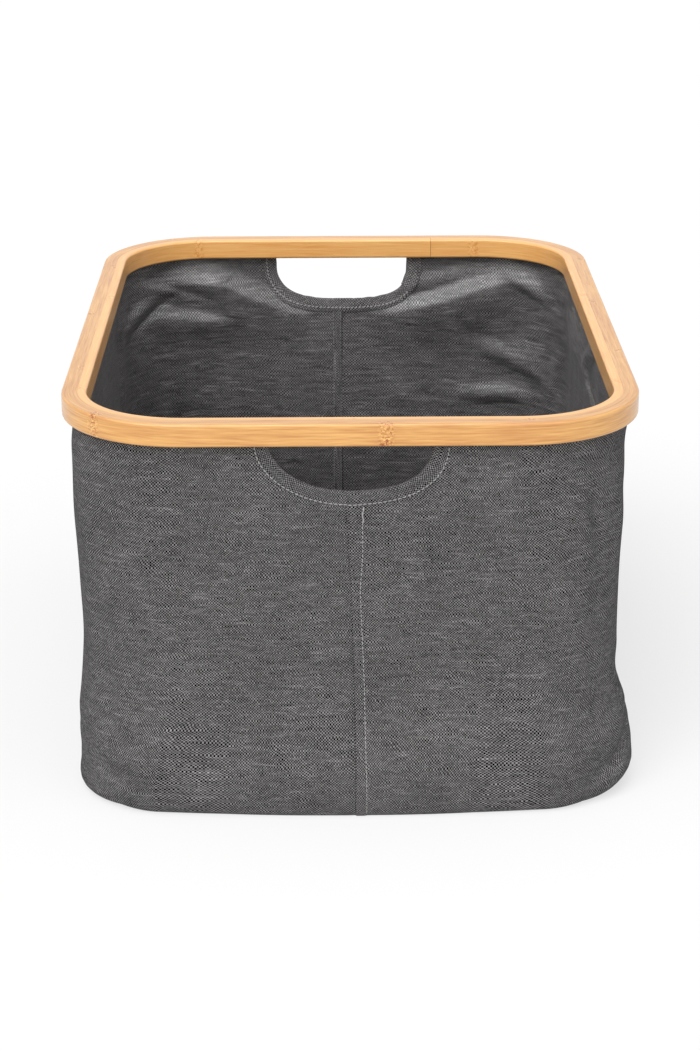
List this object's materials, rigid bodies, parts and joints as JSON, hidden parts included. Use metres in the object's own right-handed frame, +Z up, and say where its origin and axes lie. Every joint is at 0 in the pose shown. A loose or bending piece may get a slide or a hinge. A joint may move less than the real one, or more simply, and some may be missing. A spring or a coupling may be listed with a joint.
{
  "type": "fabric laundry basket with bent bamboo rim",
  "caption": "Open rectangular fabric laundry basket hung from a bent bamboo rim, with a hand hole in each end wall and a lift-out base insert; the rim pushes down to collapse it.",
  "frame": {"origin": "middle of the underside, where the basket rests", "axes": "+X to the right, +Y from the front centre seam to the back, +Z up through the opening"},
  "size_m": [0.4, 0.546, 0.285],
  "materials": {
    "bamboo_face": "clear satin lacquer on bent bamboo",
    "bamboo_core": "clear satin lacquer on bent bamboo",
    "hem_plastic": "matt extruded strip",
    "wall_fabric": "charcoal slub linen-look weave",
    "facing_fabric": "charcoal slub linen-look weave, folded",
    "binding_tape": "dark woven tape",
    "board": "bare hardboard",
    "insert_fabric": "charcoal slub linen-look weave"
  },
  "bodies": {
    "basket": {"left_wall_panel": "wall_fabric", "right_wall_panel": "wall_fabric", "front_seam_fell": "facing_fabric", "back_seam_fell": "facing_fabric", "front_hole_facing": "facing_fabric", "back_hole_facing": "facing_fabric", "base_panel": "wall_fabric", "base_seam_binding": "binding_tape"},
    "rim": {"rim_outer_ply": "bamboo_face", "rim_core_ply": "bamboo_core", "rim_inner_ply": "bamboo_face", "hem_strip": "hem_plastic"},
    "insert": {"insert_board": "board", "insert_bottom_cover": "insert_fabric", "insert_top_cover": "insert_fabric", "insert_edging": "binding_tape"}
  },
  "joints": [
    {"name": "rim_collapse", "type": "slide", "parent": "basket", "child": "rim", "axis": [0, 0, -1], "range_m": [0, 0.2], "deforming": ["left_wall_panel", "right_wall_panel", "front_seam_fell", "back_seam_fell", "front_hole_facing", "back_hole_facing"]},
    {"name": "insert_lift", "type": "slide", "parent": "basket", "child": "insert", "axis": [0, 0, 1], "range_m": [0, 0.4]}
  ]
}
